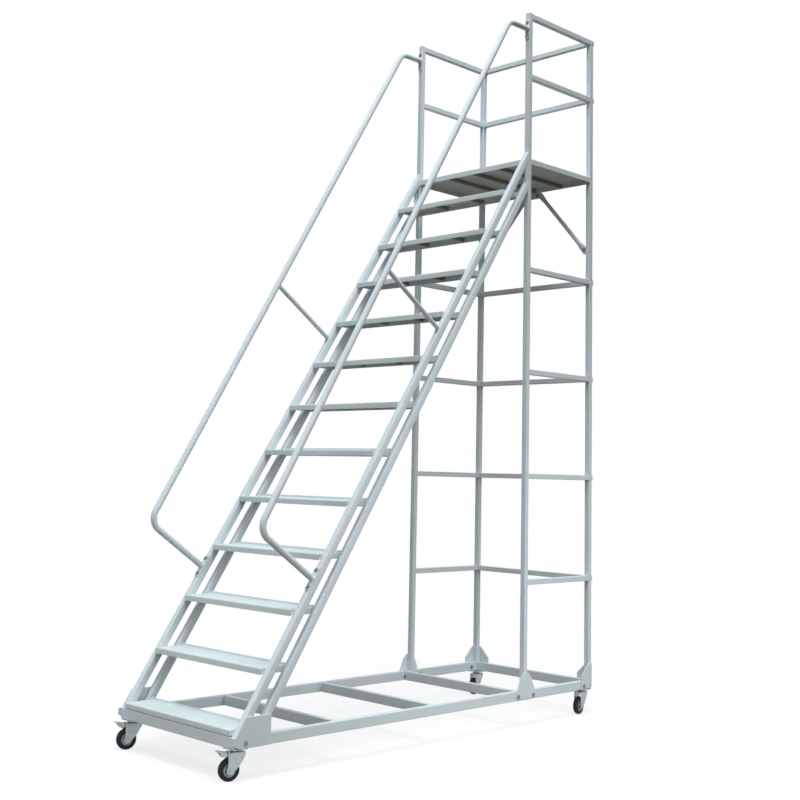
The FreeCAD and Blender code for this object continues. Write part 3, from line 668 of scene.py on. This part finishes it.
def make_wheel(key, axle):
    """Tyre with round shoulders, and a dished core with ribs."""
    section = [(r, -WHEEL_HALF + inset) for r, inset in TYRE_SHOULDER]
    section += [(r, WHEEL_HALF - inset) for r, inset in reversed(TYRE_SHOULDER)]
    tyre = bmesh.new()
    rings = []
    for i in range(WHEEL_SEGMENTS):
        angle = 2 * math.pi * i / WHEEL_SEGMENTS
        rings.append([axle @ Vector((r * math.cos(angle), r * math.sin(angle), h)) for r, h in section])
    loft(tyre, rings + [rings[0]], closed=False)
    bmesh.ops.remove_doubles(tyre, verts=tyre.verts[:], dist=1e-6)
    finish(tyre, f"tyre_{key}", RUBBER, f"wheel_{key}", [f"caster_tyre_{key}"], smooth=50)
    hub = bmesh.new()
    profile = [(r, -h) for r, h in HUB_FACE] + [(r, h) for r, h in reversed(HUB_FACE)]
    lathe(hub, profile, axle, 48)
    for i in range(6):
        rib = axle @ Matrix.Rotation(math.pi * i / 3, 4, "Z")
        blade = [(0.0115, -0.0011), (0.0245, -0.0011), (0.0245, 0.0011), (0.0115, 0.0011)]
        prism(hub, blade, DISH - 0.0035, DISH - 0.0002, rib)
        prism(hub, blade, -DISH + 0.0002, -DISH + 0.0035, rib)
    finish(hub, f"core_{key}", CORE, f"wheel_{key}", [f"caster_core_{key}"])


def make_fork(key, corner, axle):
    """Pressed fork, its crown and kingpin nut darkened as painted shade, and the axle bolt."""
    fork = bmesh.new()
    for face in (-1, 1):
        low, high = sorted((-face * FORK_HALF, -face * (FORK_HALF - SHEET)))
        prism(fork, CHEEK, low, high, corner @ TURN_SIDEWAYS)
        flip = Matrix.Rotation(0 if face > 0 else math.pi, 4, "X")
        boss = axle @ Matrix.Translation((0, 0, face * FORK_HALF)) @ flip
        lathe(fork, [(0.0115, -0.0005), (0.0112, 0.0008), (0.0095, 0.0012)], boss, 24)
    deck = rounded([(-0.041, -FORK_HALF, 0.005), (0.042, -FORK_HALF, 0.005), (0.042, FORK_HALF, 0.005),
                    (-0.041, FORK_HALF, 0.005)])
    prism(fork, deck, FORK_TOP - SHEET, FORK_TOP, corner)
    finish(fork, f"fork_{key}", ZINC, f"fork_{key}", [f"caster_fork_{key}"], bevel=0.0007)
    crown = bmesh.new()
    lathe(crown, [(0.0085, FORK_TOP - 0.001), (0.0255, FORK_TOP - 0.001), (0.0252, FORK_TOP + 0.001),
                  (0.0225, CROWN), (0.0085, CROWN)], corner, 40)
    lathe(crown, [(0.0098, CROWN - 0.0125), (0.0098, CROWN - 0.0066), (0.0085, CROWN - 0.0066)], corner, 6)
    finish(crown, f"crown_{key}", SHADED_BOLT_ZINC, f"fork_{key}", bevel=0.0002)
    axle_bolt = bmesh.new()
    out = axle.to_3x3() @ Vector((0, 0, 1))
    lathe(axle_bolt, [(0.0048, -FORK_HALF), (0.0048, FORK_HALF)], axle, 20)
    hex_bolt(axle_bolt, axle @ Vector((0, 0, FORK_HALF + 0.0011)), out, 0.013, 0.0062)
    stud_nut(axle_bolt, axle @ Vector((0, 0, -FORK_HALF - 0.0011)), -out, 0.013, 0.0065, 0.0038)
    finish(axle_bolt, f"axle_{key}", ZINC, f"fork_{key}", bevel=0.0002)


def make_pedal(key, corner):
    """Brake pedal: foot plate with ribs, two side flanges and the pivot."""
    pedal = bmesh.new()
    hinge = Matrix.Translation((0.047, 0, 0.1253))
    tilted = corner @ hinge @ Matrix.Rotation(-PEDAL_RISE, 4, "Y") @ hinge.inverted()
    shape = rounded([(0.047, -0.021, 0.004), (0.090, -0.021, 0.012), (0.0955, -0.010, 0.006),
                     (0.0955, 0.010, 0.006), (0.090, 0.021, 0.012), (0.047, 0.021, 0.004)], 4)
    prism(pedal, shape, 0.1238, 0.1268, tilted)
    for x in (0.062, 0.070, 0.078, 0.086):
        rib = tilted @ Matrix.Translation((x, 0, 0))
        prism(pedal, oblong(0.0012, 0.014, 0.001, 2), 0.1262, 0.1277, rib)
    flange = rounded([(0.028, 0.1215, 0.003), (0.028, 0.1125, 0.004), (0.046, 0.1105, 0.002),
                      (0.060, 0.102, 0.004), (0.086, 0.1300, 0.002), (0.050, 0.1240, 0.001),
                      (0.047, 0.1215, 0.001)], 3)
    for low, high in ((-0.0165, -0.0140), (0.0140, 0.0165)):
        prism(pedal, flange, low, high, corner @ TURN_SIDEWAYS)
    pivot = corner @ Matrix.Translation((0.034, 0, 0.118)) @ TURN_SIDEWAYS
    lathe(pedal, [(0.0022, -0.0255), (0.0029, -0.0250), (0.0029, 0.0250), (0.0022, 0.0255)], pivot, 16)
    finish(pedal, f"pedal_{key}", ZINC, f"brake_{key}", [f"brake_pedal_{key}"], bevel=0.0005)


def make_mount(spot):
    """Caster plate, and the race, kingpin and four bolts under it, darkened as painted shade."""
    prism(mounts, oblong(MOUNT_HALF, MOUNT_HALF, 0.007), BASE_LOW - 0.004, BASE_LOW, spot)
    lathe(mount_bolts, [(0.006, RACE_LOW), (0.0205, RACE_LOW), (0.0235, RACE_LOW + 0.0012),
                        (0.025, BASE_LOW - 0.0042), (0.025, BASE_LOW - 0.0036)], spot, 40)
    lathe(mount_bolts, [(0.006, CROWN - 0.0062), (0.006, RACE_LOW + 0.001)], spot, 24)
    for x in (-MOUNT_BOLT, MOUNT_BOLT):
        for y in (-MOUNT_BOLT, MOUNT_BOLT):
            hex_bolt(mount_bolts, spot @ Vector((x, y, BASE_LOW - 0.004)), (0, 0, -1), 0.010, 0.0035)


for key in ("front_right", "front_left", "rear_right", "rear_left"):
    swivel = JOINTS[f"swivel_{key}"]
    roll = JOINTS[f"roll_{key}"]
    spot = Matrix.Translation((swivel["pos_m"][0], swivel["pos_m"][1], 0))
    corner = spot @ Matrix.Rotation(math.atan2(-roll["axis"][0], roll["axis"][1]), 4, "Z")
    axle = corner @ Matrix.Translation((TRAIL, 0, WHEEL_R)) @ Matrix.Rotation(-math.pi / 2, 4, "X")
    make_wheel(key, axle)
    make_fork(key, corner, axle)
    make_mount(spot)
    if key.startswith("front"):
        make_pedal(key, corner)
finish(mounts, "caster_mount_plates", ZINC, "ladder", ["caster_mounts"], bevel=0.0006)
# The races, kingpins and plate bolts take the zinc darkened as painted shade
finish(mount_bolts, "caster_races_and_bolts", SHADED_BOLT_ZINC, "ladder")


# Floor and light
def seen_by(tree):
    """One for rays from the camera, from gloss and through glass."""
    path = tree.nodes.new("ShaderNodeLightPath")
    first = tree.nodes.new("ShaderNodeMath")
    first.operation = "MAXIMUM"
    tree.links.new(path.outputs["Is Camera Ray"], first.inputs[0])
    tree.links.new(path.outputs["Is Glossy Ray"], first.inputs[1])
    second = tree.nodes.new("ShaderNodeMath")
    second.operation = "MAXIMUM"
    tree.links.new(first.outputs[0], second.inputs[0])
    tree.links.new(path.outputs["Is Transmission Ray"], second.inputs[1])
    return second.outputs[0]


def away(tree, near, far, low, high):
    """A value that grows with the distance from the middle of the floor."""
    coord = tree.nodes.new("ShaderNodeTexCoord")
    length = tree.nodes.new("ShaderNodeVectorMath")
    length.operation = "LENGTH"
    tree.links.new(coord.outputs["Object"], length.inputs[0])
    mapped = tree.nodes.new("ShaderNodeMapRange")
    mapped.inputs["From Min"].default_value = near
    mapped.inputs["From Max"].default_value = far
    mapped.inputs["To Min"].default_value = low
    mapped.inputs["To Max"].default_value = high
    tree.links.new(length.outputs["Value"], mapped.inputs["Value"])
    return mapped.outputs["Result"]


def pale(name, bounce, seen):
    """A floor that the camera sees as white, with a soft shadow, and that gives back little light."""
    mat = bpy.data.materials.new(name)
    mat.use_nodes = True
    tree = mat.node_tree
    tree.nodes.clear()
    out = tree.nodes.new("ShaderNodeOutputMaterial")
    dim = tree.nodes.new("ShaderNodeBsdfDiffuse")
    dim.inputs["Color"].default_value = (*bounce, 1)
    lit = tree.nodes.new("ShaderNodeBsdfDiffuse")
    lit.inputs["Color"].default_value = (*seen, 1)
    glowing = tree.nodes.new("ShaderNodeEmission")
    glowing.inputs["Color"].default_value = (1, 1, 1, 1)
    mixed = tree.nodes.new("ShaderNodeMixShader")
    tree.links.new(away(tree, 1.6, 5.0, 0.72, 1.0), mixed.inputs["Fac"])
    tree.links.new(lit.outputs[0], mixed.inputs[1])
    tree.links.new(glowing.outputs[0], mixed.inputs[2])
    final = tree.nodes.new("ShaderNodeMixShader")
    tree.links.new(seen_by(tree), final.inputs["Fac"])
    tree.links.new(dim.outputs[0], final.inputs[1])
    tree.links.new(mixed.outputs[0], final.inputs[2])
    tree.links.new(final.outputs[0], out.inputs["Surface"])
    return mat


floor_mesh = bpy.data.meshes.new("floor")
disc = bmesh.new()
bmesh.ops.create_circle(disc, cap_ends=True, radius=60.0, segments=96)
disc.to_mesh(floor_mesh)
disc.free()
floor = bpy.data.objects.new("floor", floor_mesh)
bpy.context.scene.collection.objects.link(floor)
floor_mesh.materials.append(pale("floor_pale", (0.085, 0.052, 0.024), (1.0, 1.0, 1.0)))

# Overcast sky, brightest overhead, which the camera sees as white
world = bpy.data.worlds.new("studio")
bpy.context.scene.world = world
world.use_nodes = True
sky = world.node_tree
background = sky.nodes["Background"]
direction = sky.nodes.new("ShaderNodeTexCoord")
split = sky.nodes.new("ShaderNodeSeparateXYZ")
sky.links.new(direction.outputs["Generated"], split.inputs[0])
overhead = ramp(sky, split.outputs["Z"], ((0.0, (0.17, 0.172, 0.176)), (1.0, (1.08, 1.125, 1.15))))
sky.links.new(overhead.outputs["Color"], background.inputs["Color"])
background.inputs["Strength"].default_value = 0.85
white = sky.nodes.new("ShaderNodeBackground")
white.inputs["Color"].default_value = (1, 1, 1, 1)
white.inputs["Strength"].default_value = 1.0
chosen = sky.nodes.new("ShaderNodeMixShader")
sky.links.new(seen_by(sky), chosen.inputs["Fac"])
sky.links.new(background.outputs[0], chosen.inputs[1])
sky.links.new(white.outputs[0], chosen.inputs[2])
sky.links.new(chosen.outputs[0], sky.nodes["World Output"].inputs["Surface"])


def lamp(name, place, target, side, power, cone=180.0):
    """A soft square lamp aimed at a point."""
    data = bpy.data.lights.new(name, "AREA")
    data.size = side
    data.energy = power
    data.spread = math.radians(cone)
    data.color = (0.94, 0.98, 1.0)
    obj = bpy.data.objects.new(name, data)
    bpy.context.scene.collection.objects.link(obj)
    obj.location = place
    obj.rotation_mode = "QUATERNION"
    obj.rotation_quaternion = (Vector(target) - Vector(place)).to_track_quat("-Z", "Y")


lamp("key", (-1.6, -2.0, 9.5), (0, 0, 1.8), 4.0, 470)
lamp("fill_side", (0.5, -4.5, 1.7), (0.3, 0, 0), 2.5, 17, 70)
lamp("fill_front", (-6.0, -0.5, 1.6), (-1.2, 0, 0.1), 2.5, 8, 60)

# Camera, fitted to the photograph's straight edges
YAW = math.radians(43.6083)
TILT = math.radians(6.1098)
CAMERA_ROLL = math.radians(1.4997)
CAMERA_AT = (NOSE_X - 3.52107, -4.69149, 1.346557)
FOCAL_PX = 1230.226
CENTRE_X = 333.638
CENTRE_Y = 342.841
IMAGE = 800.0
SENSOR = 36.0
forward = Vector((math.sin(YAW) * math.cos(TILT), math.cos(YAW) * math.cos(TILT), math.sin(TILT)))
right = Vector((math.cos(YAW), -math.sin(YAW), 0))
down = -right.cross(forward)
cam_right = math.cos(CAMERA_ROLL) * right - math.sin(CAMERA_ROLL) * down
cam_down = math.sin(CAMERA_ROLL) * right + math.cos(CAMERA_ROLL) * down
camera = bpy.data.objects.new("camera", bpy.data.cameras.new("camera"))
bpy.context.scene.collection.objects.link(camera)
turned = Matrix((cam_right, -cam_down, -forward)).transposed()
camera.matrix_world = Matrix.Translation(CAMERA_AT) @ turned.to_4x4()
camera.data.sensor_fit = "HORIZONTAL"
camera.data.sensor_width = SENSOR
camera.data.lens = FOCAL_PX * SENSOR / IMAGE
camera.data.shift_x = (IMAGE / 2 - CENTRE_X) / IMAGE
camera.data.shift_y = (CENTRE_Y - IMAGE / 2) / IMAGE
camera.data.clip_start = 0.1
camera.data.clip_end = 300.0
bpy.context.scene.camera = camera
bpy.context.scene.view_settings.view_transform = "Standard"
